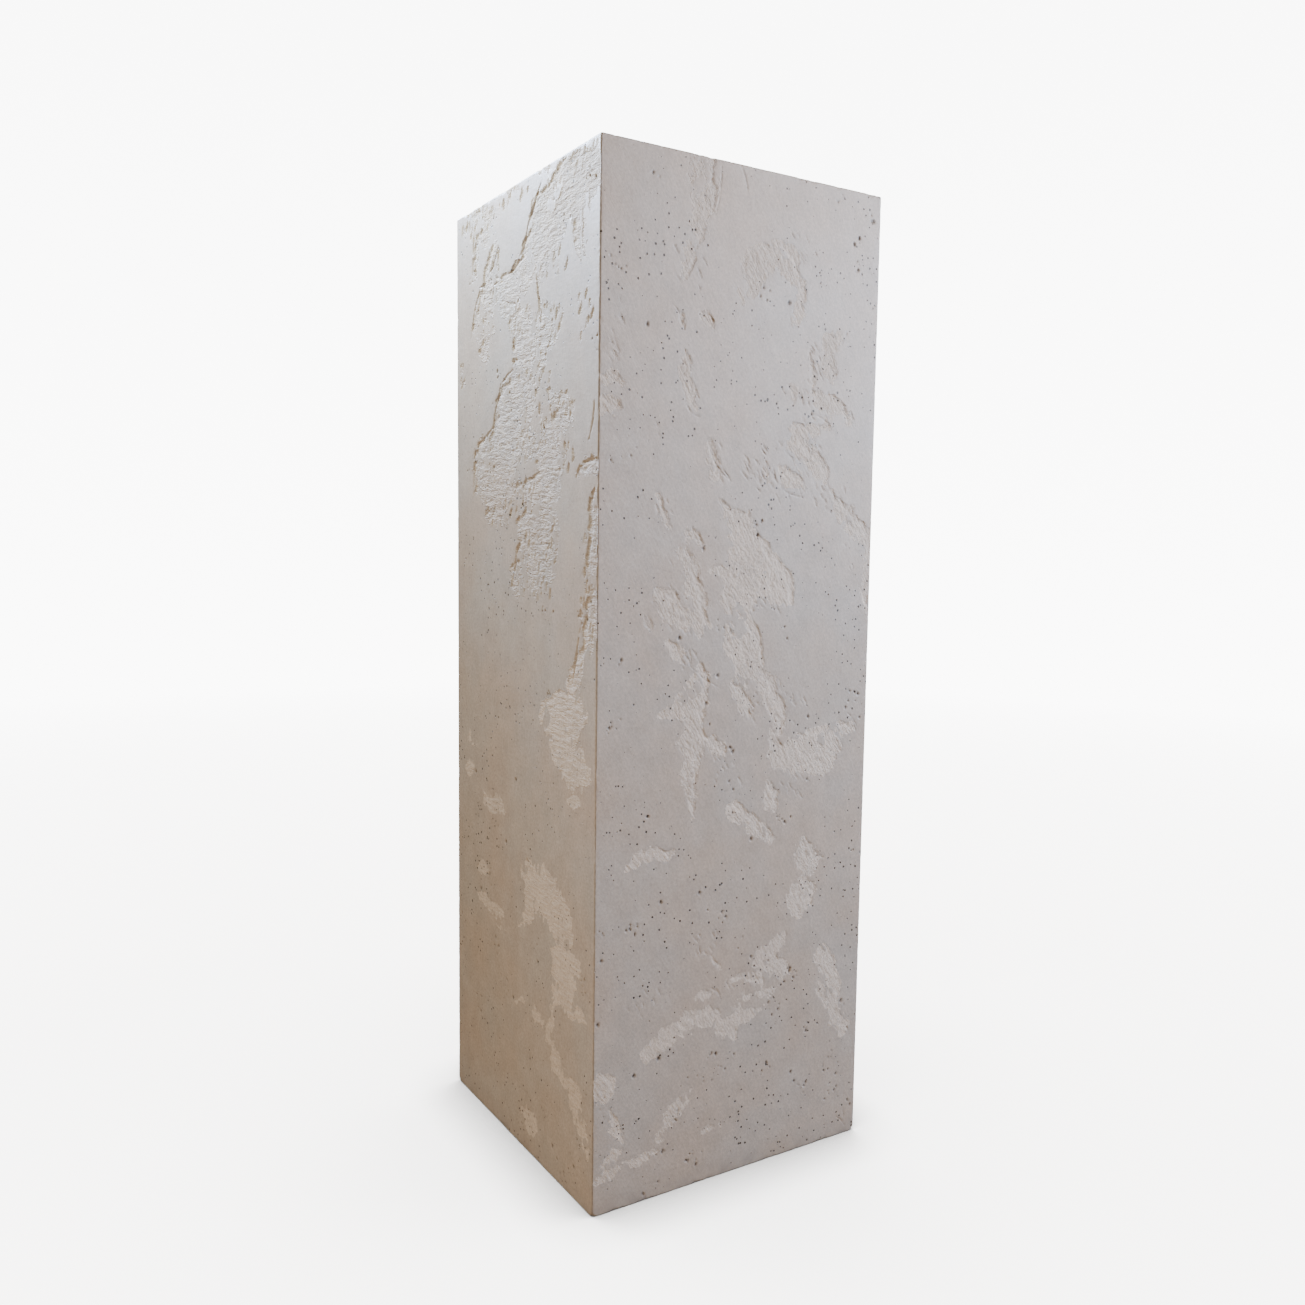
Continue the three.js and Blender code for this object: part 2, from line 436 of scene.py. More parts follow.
FRONT_HAND = TrowelHand(
    pore_count=240,
    pores=(
        (295, 947), (301, 954), (318, 973), (213, 879), (50, 841), (116, 638), (90, 553), (135, 515),
        (250, 467), (57, 384), (152, 442), (155, 438), (306, 152), (8, 251), (5, 190), (45, 130),
        (73, 141), (239, 88), (73, 298), (118, 300), (180, 347),
    ),
    scores=(
        (128, 999, 121, 944, 4), (151, 999, 160, 973, 2), (77, 862, 88, 845, 2), (107, 858, 123, 838, 9),
        (60, 755, 65, 739, 1), (122, 745, 136, 727, 4), (136, 714, 147, 702, 1), (172, 727, 190, 696, 3),
        (92, 649, 115, 640, 4), (98, 530, 145, 500, -3), (302, 468, 318, 450, 2), (289, 861, 281, 846, 1),
        (315, 50, 318, 8, -3), (303, 22, 318, 5, 2), (199, 713, 207, 699, -1), (207, 699, 241, 690, -2),
        (174, 726, 182, 716, 1), (182, 709, 192, 694, 1), (127, 722, 147, 703, -2),
        (295, 781, 303, 765, 1), (153, 677, 176, 663, -3), (94, 774, 110, 762, -4), (65, 751, 61, 740, 1),
        (244, 774, 270, 764, 2),
    ),
    dragged=(
        (180, 712, 20, 18, 18), (200, 582, 18, 12, 12), (70, 672, 10, 18, 10), (102, 532, 10, 14, 8),
        (250, 826, 14, 20, 12), (62, 576, 12, 16, 10), (16, 830, 12, 34, 12), (240, 790, 34, 16, 14),
        (212, 735, 30, 14, 14), (100, 800, 12, 26, 8), (225, 480, 26, 26, 18), (150, 420, 24, 22, 12),
        (240, 400, 24, 14, 10), (128, 245, 18, 14, 8), (160, 200, 30, 8, 8), (60, 200, 26, 14, 8),
        (222, 930, 24, 16, 10), (270, 700, 26, 20, 12), (95, 900, 20, 24, 8), (300, 655, 12, 40, 10),
        (222, 705, 38, 26, 20), (245, 750, 24, 30, 14), (183, 495, 26, 30, 18), (92, 590, 20, 46, 16),
    ),
    small_skips=(
        (241, 842, 243, 796, 9, 1), (58, 694, 77, 655, 9, 2), (103, 412, 111, 376, 10, 0),
        (118, 243, 144, 213, 9, 3), (148, 204, 206, 193, 9, 3), (0, 36, 30, 38, 9, 0),
        (32, 43, 74, 47, 9, -2), (116, 52, 152, 53, 6, 0), (92, 652, 117, 642, 11, 4),
        (84, 858, 90, 838, 7, 0), (216, 800, 226, 780, 7, 0), (184, 735, 192, 700, 6, 0),
    ),
)
HANDS: dict[Side, TrowelHand] = {
    Side.LEFT: LEFT_HAND,
    Side.FRONT: FRONT_HAND,
    Side.RIGHT: TrowelHand(dragged=((150, 620, 40, 60, 20),)),
    Side.BACK: TrowelHand(dragged=((210, 700, 40, 60, 20),)),
}


@dataclass
class TrowelledSide:
    """Relief of one side on a grid: its depth, where base coat lies open, and where shade is painted.

    Attributes:
        side: the side.
        size: the block's sizes.
        hand: how the trowel went over it.
        probe_pitch: distance between two rays that feel for the skips.
        pitch: distance between two places of the relief.
        grid: the places of the relief.
        across: distance across the side of each of them.
        up: their heights.
        depth: how deep each place lies below the side.
        opened: how much of the open coat's colour it shows.
        rough: how rough the open coat is there.
        dark: how much painted shade it takes, in pores, cracks and drag marks and along the sharp edges of
            skips.
    """

    side: Side
    size: BlockSize
    hand: TrowelHand
    probe_pitch: float = 2 * MM
    pitch: float = 0.75 * MM
    grid: Grid = field(init=False)
    across: Array = field(init=False)
    up: Array = field(init=False)
    depth: Array = field(init=False)
    opened: Array = field(init=False)
    rough: Array = field(init=False)
    dark: Array = field(init=False)

    def __post_init__(self) -> None:
        """Lays out the places of the relief."""
        self.grid = Grid(self.size, self.pitch)
        self.across, self.up = self.grid.places()

    def mottle(self, pattern: int, across_mm: float, up_mm: float, lean_deg: float = 0.0) -> Array:
        """Reads one of the side's chance patterns, with patches of the given size, at all its places."""
        mottle = Mottle(self.side.seed + pattern, across_mm * MM, up_mm * MM, lean_deg)
        return mottle.at(self.across, self.up)

    def probe(self, tree: BVHTree) -> tuple[Grid, Array]:
        """Feels for the CAD block's skips with rays from outside.

        Args:
            tree: the CAD node's faces.

        Returns:
            The grid of the probes, and 1 in a skip or 0 beside it for each of them.
        """
        grid = Grid(self.size, self.probe_pitch)
        away, least_sunk = 3 * MM, 0.5 * MM
        corner = self.size.corner(self.side) + self.side.outward * away
        inward = Vector(-self.side.outward)
        across, up = grid.places()
        across = np.clip(across, away, self.size.width - away)
        up = np.clip(up, away, self.size.height - away)
        starts = corner + across[..., None] * self.side.across + up[..., None] * np.array([0, 0, 1.0])
        reaches = [tree.ray_cast(Vector(start), inward)[3] for start in starts.reshape(-1, 3)]
        return grid, (np.array(reaches).reshape(grid.shape) > away + least_sunk).astype(float)

    def build(self, tree: BVHTree) -> "TrowelledSide":
        """Works out the relief.

        Args:
            tree: the CAD node's faces.

        Returns:
            This side, filled in.
        """
        probes, sunk = self.probe(tree)
        for *ends, width, bow in self.hand.small_skips:
            Stroke.in_mm(ends, bow, width).press(probes, sunk, 1.0)
        low, high, least = self.hand.calm
        strength = least + (1 - least) * ramp(low * MM, high * MM, self.up)
        lip = self.lip(probes, probes.soften(sunk, 2.5 * MM)) * strength
        drags = self.drags()
        near, broad = probes.soften(sunk, 1.6 * MM), probes.soften(sunk, 7 * MM)
        self.opened = self.open_coat(probes, near, broad, lip)
        floor = self.floor(lip) * (0.4 + 0.6 * strength)
        scores, pores = self.scores(), self.pores()
        wave = self.hand.wave * (0.5 + 0.5 * self.mottle(9, 70, 90))
        self.depth = np.maximum(wave * (1 - self.opened) + self.opened * floor, self.hand.tear * drags)
        self.depth += self.hand.score * scores + self.hand.pore_depth * pores + self.nicks()
        # A thin painted shadow line along the sharp edge of each skip.
        edge = self.grid.soften(self.opened, 0.75 * MM)
        rim = ramp(0.45, 0.95, 4 * edge * (1 - edge)) * ramp(0.2, 0.8, lip)
        self.opened = np.maximum(self.opened, 0.7 * drags)
        self.rough = self.opened * strength * self.hand.grit
        self.opened *= 1 - self.hand.fade * strength
        # The dark share is painted shade in pores, cracks and drag marks and along the skips' sharp edges.
        self.dark = np.maximum.reduce([pores, 0.12 * scores, 0.12 * rim, 0.05 * ramp(0.5, 1.0, drags)])
        LOG.info("%s side: %.1f %% open coat", self.side.name.lower(), 100 * self.opened.mean())
        return self

    def lip(self, probes: Grid, near: Array) -> Array:
        """Where a skip ends in a sharp edge close by: from 0 to 1."""
        reach = 7 * MM
        here = probes.read(near, self.across, self.up)
        beyond_a, beyond_u = self.across + self.hand.lip[0] * reach, self.up + self.hand.lip[1] * reach
        beyond = probes.read(near, beyond_a, beyond_u)
        return ramp(0.10, 0.60, here - beyond) * ramp(-0.9, 0.0, self.mottle(10, 13, 13))

    def open_coat(self, probes: Grid, near: Array, broad: Array, lip: Array) -> Array:
        """Where the base coat lies open: skips with wavering outlines, frayed away from the sharp edge.

        Args:
            probes: the grid of the probes.
            near: the skips, softened a little.
            broad: the skips, softened a lot.
            lip: how close a sharp edge is.

        Returns:
            0 on the trowelled skin and 1 on the open coat.
        """
        lean = self.hand.drag_deg
        share = probes.read(near, self.across + self.wander(30), self.up + self.wander(40))
        around = probes.read(broad, self.across, self.up)
        strands, crumbs = self.mottle(5, 2.8, 10, lean), self.mottle(6, 3.2, 3.8)
        fray = (1 - 0.7 * lip) * ramp(0.04, 0.35, around) * (0.32 * strands + 0.35 * crumbs)
        spill = 0.30 * ramp(0.10, 0.55, around) * (1 - lip)
        islands = 0.9 * ramp(0.42, 0.70, self.mottle(7, 15, 19, lean)) * (1 - lip)
        return ramp(0.40, 0.60, share + spill * (0.4 + strands) + fray - islands)

    def wander(self, pattern: int) -> Array:
        """Sideways wandering of an outline, in coarse, middling and fine steps."""
        steps = ((3.6, 16.0), (2.6, 5.5), (1.2, 2.6))
        return MM * sum(far * self.mottle(pattern + i, size, size) for i, (far, size) in enumerate(steps))

    def floor(self, lip: Array) -> Array:
        """Depth of the open coat: deep along the sharp edge, rising away from it, streaked and gritty."""
        width, height, lean = self.hand.comb
        streaks, grit = self.mottle(11, width, height, lean), self.mottle(12, 2.6, 2.6)
        depth = self.hand.cut * (0.45 + 0.5 * lip) + 0.25 * MM * streaks + 0.2 * MM * grit
        return np.clip(depth, 0.12 * MM, self.hand.cut + 0.3 * MM)

    def drags(self) -> Array:
        """Short side by side marks where the skin was torn off, from 0 to 1."""
        marks = np.zeros(self.grid.shape)
        chance = np.random.default_rng(self.side.seed + 20)
        for middle_a, middle_u, half_a, half_u, count in self.hand.dragged:
            for _ in range(count):
                turn, share = chance.uniform(0, 2 * math.pi), math.sqrt(chance.random())
                away = np.array([half_a * share * math.cos(turn), half_u * share * math.sin(turn)])
                place = np.array([middle_a, middle_u]) + away
                lean = math.radians(self.hand.drag_deg + chance.normal(0, 9))
                half = 0.5 * chance.uniform(5, 13) * np.array([-math.sin(lean), math.cos(lean)])
                bow, width = chance.normal(0, 0.5), chance.uniform(1.6, 2.8) * self.hand.mark
                mark = Stroke.in_mm([*(place - half), *(place + half)], bow, width)
                mark.press(self.grid, marks, chance.uniform(0.45, 1.0))
        return marks

    def scores(self) -> Array:
        """Fine steps and cracks, from 0 to 1."""
        lines = np.zeros(self.grid.shape)
        for *ends, bow in self.hand.scores:
            Stroke.in_mm(ends, bow, 1.6 * self.hand.mark, steps=40).press(self.grid, lines, 1.0)
        return lines * ramp(-0.75, -0.1, self.mottle(21, 5, 5))

    def pores(self) -> Array:
        """Air bubbles, singly and in loose clusters, from 0 to 1."""
        holes = np.zeros(self.grid.shape)
        chance = np.random.default_rng(self.side.seed + 22)
        pores = [Pore(a * MM, u * MM, 1.9 * MM, 1.25) for a, u in self.hand.pores]
        while len(pores) < self.hand.pore_count:
            # Bubbles gather lower down, where the mix was stiffer.
            shares = np.array([chance.random(), chance.random() ** 1.35])
            middle = shares * np.array([self.size.width, self.size.height])
            for _ in range(chance.integers(2, 8)):
                place = middle + chance.normal(0, 6.5 * MM, 2)
                radius = (0.65 + 1.1 * chance.random() ** 2.5) * MM
                pores.append(Pore(place[0], place[1], radius, chance.uniform(1.0, 1.5)))
        for pore in pores:
            pore.press(self.grid, holes)
        jag_a, jag_u = (0.7 * MM * self.mottle(pattern, 1.7, 1.7) for pattern in (23, 24))
        return self.grid.read(holes, self.across + jag_a, self.up + jag_u)

    def nicks(self) -> Array:
        """Depth of the small nicks along the arrises and the top and bottom edges."""
        most, reach = 1.1 * MM, 2.2 * MM
        inward = np.minimum(self.across, self.size.width - self.across)
        nearest = np.minimum(inward, np.minimum(self.up, self.size.height - self.up))
        bites = self.mottle(13, 8, 8) + 0.6 * self.mottle(14, 3, 3)
        return most * np.exp(-nearest / reach) * ramp(0.2, 1.1, bites)

    @property
    def marks(self) -> dict[str, Array]:
        """What the concrete's material reads, by the name that it goes by there."""
        return {"open_coat": self.opened, "rough": self.rough, "dark": self.dark}

    def read(self, values: Array, points: Array) -> Array:
        """Reads depth, opened, rough or dark at points on or below the side."""
        across = (points - self.size.corner(self.side)) @ self.side.across
        return self.grid.read(values, across, points[..., 2])


@dataclass
class ConcreteBlock:
    """The block itself: one closed mesh with the relief of all its sides.

    Attributes:
        size: the block's sizes.
        fine: distance between mesh points on the sides that the photograph shows.
        coarse: distance between mesh points across the other sides.
        arris: radius of the eased edges.
        toe_wear: how far the bottom corners are worn off.
        triangles: most triangles that the finished mesh may have.
        sharp_deg: angle from which an edge of the mesh is shown as sharp.
        mark_reach: how far in from a side a mesh point may lie and still take its marks.
        sides: the relief of each side.
    """

    size: BlockSize
    fine: float = 1.25 * MM
    coarse: float = 2.5 * MM
    arris: float = 1.8 * MM
    toe_wear: float = 6 * MM
    triangles: int = 192_000
    sharp_deg: float = 35.0
    mark_reach: float = 6 * MM
    sides: dict[Side, TrowelledSide] = field(default_factory=dict)

    def survey(self) -> None:
        """Works out the relief of every side, from the CAD node and the trowel's hand."""
        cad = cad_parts[NODE].data
        tree = BVHTree.FromPolygons([v.co for v in cad.vertices], [p.vertices[:] for p in cad.polygons])
        for side in Side:
            self.sides[side] = TrowelledSide(side, self.size, HANDS[side]).build(tree)

    def stations(self, side: Side) -> Array:
        """Places of the mesh points across a side, closer together at its arrises."""
        pitch = self.fine if side.is_shown else self.coarse
        edge = self.arris * (1 - math.cos(math.pi / 4))
        near = edge + np.array([0, 0.25, 0.5, 0.85, 1.25, 2.0]) * self.arris
        inner = np.arange(near[-1] + pitch, self.size.width - near[-1] - pitch / 2, pitch)
        far = self.size.width - near[:0:-1]
        return np.concatenate([near, inner, far])

    def levels(self) -> list[tuple[float, float]]:
        """Rows of the mesh, from the middle of the underside up and over to the middle of the top.

        Returns:
            How far each row lies in from the sides, and its height.
        """
        inner = [self.size.width / 2 - 1 * MM, 120 * MM, 60 * MM, 25 * MM, 10 * MM, 5 * MM]
        turns = [math.radians(a) for a in (0, 22.5, 45, 67.5)]
        eased = [(self.arris * (1 - math.sin(t)), self.arris * (1 - math.cos(t))) for t in turns]
        heights = np.arange(self.arris, self.size.height - self.arris - self.fine / 2, self.fine)
        upright = [(0.0, height) for height in heights] + [(0.0, self.size.height - self.arris)]
        over = [(inset, self.size.height - rise) for inset, rise in reversed(eased)]
        under = [(inset, 0.0) for inset in inner]
        return under + eased + upright + over + [(inset, self.size.height) for inset in reversed(inner)]

    def plain_row(self, side: Side, inset: float, height: float, across: Array) -> Array:
        """Points of one row on one side, with no relief.

        Args:
            side: the side.
            inset: how far the row lies in from the sides.
            height: height of the row.
            across: places across the side.

        Returns:
            One point per place.
        """
        from_arris = np.minimum(np.minimum(across, self.size.width - across), self.arris)
        eased = self.arris - np.sqrt(self.arris**2 - (self.arris - from_arris) ** 2)
        points = self.size.corner(side) + np.outer(across, side.across) - np.outer(eased, side.outward)
        points *= 1 - 2 * inset / self.size.width
        points[:, 2] = height
        return points

    def build(self) -> bpy.types.Object:
        """Builds the mesh: rows around the block, pushed in by the relief, closed and thinned out.

        Returns:
            The finished object.
        """
        levels = self.levels()
        is_upright = np.array([inset <= self.arris for inset, _ in levels])[:, None]
        blocks = []
        for side in Side:
            across = self.stations(side)[:-1]
            plain = np.stack([self.plain_row(side, inset, height, across) for inset, height in levels])
            from_arris = np.minimum(across, self.size.width - across)
            hold = 0.25 + 0.75 * ramp(0.2 * self.arris, 1.6 * self.arris, from_arris)
            relief = self.sides[side]
            depth = relief.read(relief.depth, plain) * hold * is_upright
            blocks.append(plain - depth[..., None] * side.outward)
        points = self.wear_toes(np.concatenate(blocks, axis=1))
        rows, columns, _ = points.shape
        index = np.arange(rows * columns).reshape(rows, columns)
        turned = np.roll(index, -1, axis=1)
        quads = np.stack([index[:-1], turned[:-1], turned[1:], index[1:]], axis=-1).reshape(-1, 4)
        mesh = bpy.data.meshes.new("relief")
        caps = [index[0, ::-1].tolist(), index[-1].tolist()]
        mesh.from_pydata(points.reshape(-1, 3).tolist(), [], quads.tolist() + caps)
        block = bpy.data.objects.new("trowelled_block", mesh)
        bpy.context.scene.collection.objects.link(block)
        LOG.info("dense mesh: %d points", rows * columns)
        self.thin_out(block)
        return block

    def wear_toes(self, points: Array) -> Array:
        """Rounds off the four bottom corners.

        Args:
            points: all points, by row and column.

        Returns:
            The points, with those at the bottom corners moved in.
        """
        x, y, z = np.moveaxis(points, -1, 0)
        missing = self.toe_wear - (self.size.width - np.abs(x) - np.abs(y) + z)
        inward = np.stack([-np.sign(x), -np.sign(y), np.ones_like(z)], axis=-1)
        return points + np.maximum(missing, 0)[..., None] / 3 * inward

    def thin_out(self, block: bpy.types.Object) -> None:
        """Drops the mesh points that the flat stretches don't need.

        Args:
            block: the object with the dense mesh.
        """
        count = sum(len(p.vertices) - 2 for p in block.data.polygons)
        thin = block.modifiers.new("thin", "DECIMATE")
        thin.ratio = self.triangles / count
        thin.use_collapse_triangulate = True
        self.apply(block)
        self.hold_in_box(block)
        block.data.shade_smooth()
        block.data.set_sharp_from_angle(angle=math.radians(self.sharp_deg))
        # Large flat faces set the normals at their corners, so the relief beside them casts no false shine.
        weighted = block.modifiers.new("flatten", "WEIGHTED_NORMAL")
        weighted.keep_sharp = True
        self.apply(block)

    def hold_in_box(self, block: bpy.types.Object) -> None:
        """Pulls mesh points that thinning has moved outside back into the block's own box."""
        half = self.size.width / 2
        low, high = np.array([-half, -half, 0.0]), np.array([half, half, self.size.height])
        held = np.clip(read_points(block.data), low, high).astype(np.float32)
        block.data.vertices.foreach_set("co", held.ravel())
        block.data.update()

    def apply(self, block: bpy.types.Object) -> None:
        """Turns the outcome of the object's modifiers into its mesh."""
        before = block.data
        changed = block.evaluated_get(bpy.context.evaluated_depsgraph_get())
        block.data = bpy.data.meshes.new_from_object(changed)
        block.modifiers.clear()
        bpy.data.meshes.remove(before)
        block.data.name = "relief"

    def dress(self, block: bpy.types.Object) -> None:
        """Marks the open coat, its roughness and the painted shade on the mesh points and gives the block
        its concrete.

        Args:
            block: the finished object.
        """
        mesh = block.data
        points = read_points(mesh).astype(float)
        outward = np.stack([points @ side.outward for side in Side])
        marks = {name: np.zeros(len(points)) for name in ("open_coat", "rough", "dark")}
        for number, side in enumerate(Side):
            is_close = outward[number] > self.size.width / 2 - self.mark_reach
            mine = (outward.argmax(axis=0) == number) & is_close
            relief = self.sides[side]
            for name, values in relief.marks.items():
                marks[name][mine] = relief.read(values, points[mine])
        for name, values in marks.items():
            mesh.attributes.new(name, "FLOAT", "POINT").data.foreach_set("value", values.astype(np.float32))
        mesh.materials.clear()
        mesh.materials.append(TrowelledLimeConcrete().build(self.size))
        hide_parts(NODE)
        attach(block, BODY)


@dataclass(frozen=True)
class NodeBoard:
    """The shader nodes of one material, with short ways to add the common ones.

    Attributes:
        material: the material.
        place: the place on the object, in its own frame.
    """

    material: bpy.types.Material
    place: Socket

    @classmethod
    def for_new(cls, name: str) -> "NodeBoard":
        """Starts a material that so far knows only the place on the object."""
        material = bpy.data.materials.new(name)
        material.use_nodes = True
        material.node_tree.nodes.clear()
        place = material.node_tree.nodes.new("ShaderNodeTexCoord")
        return cls(material, place.outputs["Object"])

    def add(self, kind: str, values: dict) -> bpy.types.Node:
        """Adds a node with its settings and links.

        Args:
            kind: Blender's name of the node type.
            values: for a property of the node its value, by name. For one of its inputs a value, or the
                socket that feeds it, by name or number.

        Returns:
            The new node.
        """
        node = self.material.node_tree.nodes.new(kind)
        for name, value in values.items():
            if isinstance(value, Socket):
                self.material.node_tree.links.new(value, node.inputs[name])
            elif isinstance(name, str) and hasattr(node, name):
                setattr(node, name, value)
            else:
                node.inputs[name].default_value = value
        return node

    def mark(self, name: str) -> Socket:
        """Reads one of the values kept on the mesh points."""
        return self.add("ShaderNodeAttribute", {"attribute_name": name}).outputs["Fac"]

    def compute(self, operation: str, *terms: Socket | float) -> Socket:
        """Adds a math node for its operation and terms."""
        return self.add("ShaderNodeMath", {"operation": operation, **dict(enumerate(terms))}).outputs[0]

    def rescale(self, source: Socket, old: tuple[float, float], new: tuple[float, float]) -> Socket:
        """Maps one span of values to another, and holds what lies outside at its ends."""
        spans = {"From Min": old[0], "From Max": old[1], "To Min": new[0], "To Max": new[1]}
        return self.add("ShaderNodeMapRange", {"Value": source, **spans}).outputs["Result"]

    def noise(self, size: float, detail: int, rough: float, place: Socket | None = None) -> Socket:
        """Cloudy noise with blots of the given size."""
        source = self.place if place is None else place
        settings = {"Vector": source, "Scale": 1 / size, "Detail": detail, "Roughness": rough}
        return self.add("ShaderNodeTexNoise", settings).outputs["Fac"]

    def mix(self, share: Socket, first: Socket | str, second: Socket | str) -> Socket:
        """Mixes two colours by a share from 0 to 1, each given as a socket or in sRGB."""
        low, high = (linear(colour) if isinstance(colour, str) else colour for colour in (first, second))
        return self.add("ShaderNodeMix", {"data_type": "RGBA", 0: share, 6: low, 7: high}).outputs[2]

    def dim(self, colour: Socket | str, factor: Socket) -> Socket:
        """Multiplies a colour, given as a socket or in sRGB, by a factor."""
        full = linear(colour)[:3] if isinstance(colour, str) else colour
        return self.add("ShaderNodeVectorMath", {"operation": "SCALE", 0: full, "Scale": factor}).outputs[0]

    def finish(self, values: dict) -> bpy.types.Material:
        """Ends the material with a shader of the given values and sockets."""
        shader = self.add("ShaderNodeBsdfPrincipled", values)
        self.add("ShaderNodeOutputMaterial", {"Surface": shader.outputs["BSDF"]})
        return self.material


@dataclass(frozen=True)
class TrowelledLimeConcrete:
    """Pale grey lime concrete, trowelled smooth while it set.

    To the eye: a matt, faintly clouded skin with a soft sheen at a low angle, rough open patches a shade
    paler and faint sweeps of the trowel. Shade is painted in: dark specks where small pores are too deep
    for light, fine dark lines in cracks, along sharp edges and up the arrises, and blots along the foot. A
    real
    pinhole is 0.2 to 2 mm wide: the ones drawn here are the larger of those, because finer ones don't show.

    Attributes:
        skin_warm: colour of the trowelled skin in its warmer clouds.
        skin_cool: colour of the skin in its cooler clouds.
        coat: colour of the open base coat.
        pore: colour of the painted shade in pores and cracks and along the skips' sharp edges.
        edge_shade: colour of the painted shade along the arrises and the foot.
        ior: index of refraction.
        skin_roughness: roughness of the skin, burnished by the steel.
        coat_roughness: roughness of the open coat.
        cloud_size: size of the clouds in the skin.
        blot_size: size of the blots in skin and dirt.
        grain_size: size of the sand grains, drawn coarser than they are, so that they show.
        swell_size: size of the gentle swells of the surface.
        pinhole_spacing: distance between two pinholes.
        fray: how far the torn strands shift the edge of the open coat.
        foot_shade_reach: how far up the foot the painted shade reaches.
    """

    skin_warm: str = "#B3A79B"
    skin_cool: str = "#ACA69F"
    coat: str = "#C5BBB0"
    pore: str = "#45423D"
    edge_shade: str = "#706C69"
    ior: float = 1.5
    skin_roughness: float = 0.5
    coat_roughness: float = 0.75
    cloud_size: float = 90 * MM
    blot_size: float = 24 * MM
    grain_size: float = 3 * MM
    swell_size: float = 60 * MM
    pinhole_spacing: float = 7.5 * MM
    fray: float = 0.6
    foot_shade_reach: float = 25 * MM

    def build(self, size: BlockSize) -> bpy.types.Material:
        """Builds the material.

        Args:
            size: the block's sizes, for the dark line along its arrises.

        Returns:
            The material.
        """
        board = NodeBoard.for_new("trowelled_lime_concrete")
        opened, rough, dark = (board.mark(name) for name in ("open_coat", "rough", "dark"))
        sweeps = self.streaks(board, (45, 45, 8), (20, 20))
        pulls = self.streaks(board, (6, 6, 60), (-6, -25))
        strands = self.streaks(board, (2.4, 16, 9), (-6, -33))
        crumbs = self.streaks(board, (4.5, 14, 4), (10, -10))
        blots = board.noise(self.blot_size, 4, 0.6)
        grain = board.noise(self.grain_size, 4, 0.7)
        pinholes = self.pinholes(board)
        shift = board.compute("MULTIPLY_ADD", strands, self.fray, -self.fray / 2)
        frayed = board.rescale(board.compute("ADD", opened, shift), (0.35, 0.6), (0, 1))
        colour = self.colour(board, frayed, [(sweeps, 0.02), (pulls, 0.05), (blots, 0.09), (grain, 0.18)])
        # Painted shade: pinholes and dark spots in the pore colour, a line up the arrises and blots along
        # the foot.
        for share, other, most in (
            (pinholes, self.pore, 0.95),
            (dark, self.pore, 0.95),
            (self.arris_shade_line(board, size), self.edge_shade, 0.55),
            (self.foot_shade(board, blots), self.edge_shade, 0.5),
        ):
            colour = board.mix(board.compute("MULTIPLY", share, most), colour, other)
        dashes = board.rescale(strands, (0.44, 0.56), (0, 1))
        lumps = board.rescale(crumbs, (0.45, 0.55), (0, 1))
        on_coat = [(grain, 0.5), (dashes, 0.45), (lumps, 0.4)]
        normal = self.relief(board, rough, [(sweeps, 0.10), (pinholes, -0.9)], on_coat)
        roughness = board.rescale(rough, (0, 0.5), (self.skin_roughness, self.coat_roughness))
        values = {"IOR": self.ior, "Base Color": colour, "Roughness": roughness, "Normal": normal}
        return board.finish(values)

    def streaks(
        self, board: NodeBoard, size: tuple[float, float, float], lean_deg: tuple[float, float]
    ) -> Socket:
        """Noise drawn out into streaks.

        Args:
            board: the material's nodes.
            size: length of a streak along X, Y and Z before it is turned, in millimetres.
            lean_deg: how far the streaks are turned about X and Y.

        Returns:
            The noise.
        """
        turn = (math.radians(lean_deg[0]), math.radians(lean_deg[1]), 0.0)
        length = [part * MM for part in size]
        settings = {"vector_type": "TEXTURE", "Scale": length, "Rotation": turn}
        drawn = board.add("ShaderNodeMapping", {"Vector": board.place, **settings}).outputs["Vector"]
        return board.noise(1.0, 3, 0.6, drawn)

    def pinholes(self, board: NodeBoard) -> Socket:
        """Small pores: bubbles cut open where the surface meets them, and more of them here than there."""
        settings = {"feature": "F1", "Vector": board.place, "Scale": 1 / self.pinhole_spacing}
        distance = board.add("ShaderNodeTexVoronoi", settings | {"Randomness": 1.0}).outputs["Distance"]
        reach = board.rescale(board.noise(70 * MM, 2, 0.5), (0.36, 0.62), (0.05, 0.18))
        return board.rescale(board.compute("DIVIDE", distance, reach), (1.0, 0.7), (0, 1))

    def colour(self, board: NodeBoard, opened: Socket, patterns: Patterns) -> Socket:
        """Colour of skin and open coat, clouded by the mix.

        Args:
            board: the material's nodes.
            opened: where the base coat lies open.
            patterns: noises that lighten and darken the colour, and by how much at most.

        Returns:
            The colour.
        """
        clouds = board.noise(self.cloud_size, 5, 0.55)
        skin = board.mix(board.rescale(clouds, (0.35, 0.65), (0, 1)), self.skin_warm, self.skin_cool)
        colour = board.mix(opened, skin, self.coat)
        for pattern, most in [(clouds, 0.06), *patterns]:
            colour = board.dim(colour, board.rescale(pattern, (0.25, 0.75), (1 - most, 1 + most)))
        return colour

    def arris_shade_line(self, board: NodeBoard, size: BlockSize) -> Socket:
        """Painted shade: a fine dark line along the four upright arrises, about 1 mm wide."""
        axes = board.add("ShaderNodeSeparateXYZ", {"Vector": board.place}).outputs
        from_x, from_y = (board.compute("ABSOLUTE", axes[name]) for name in ("X", "Y"))
        edge = (size.width - 1.6 * MM, size.width - 1.2 * MM)
        return board.rescale(board.compute("ADD", from_x, from_y), edge, (0, 1))

    def foot_shade(self, board: NodeBoard, blots: Socket) -> Socket:
        """Painted contact shade in blots along the foot, which fades out upwards."""
        height = board.add("ShaderNodeSeparateXYZ", {"Vector": board.place}).outputs["Z"]
        low = board.rescale(height, (self.foot_shade_reach, 0.0), (0, 1))
        return board.compute("MULTIPLY", low, board.rescale(blots, (0.42, 0.62), (0.1, 1)))

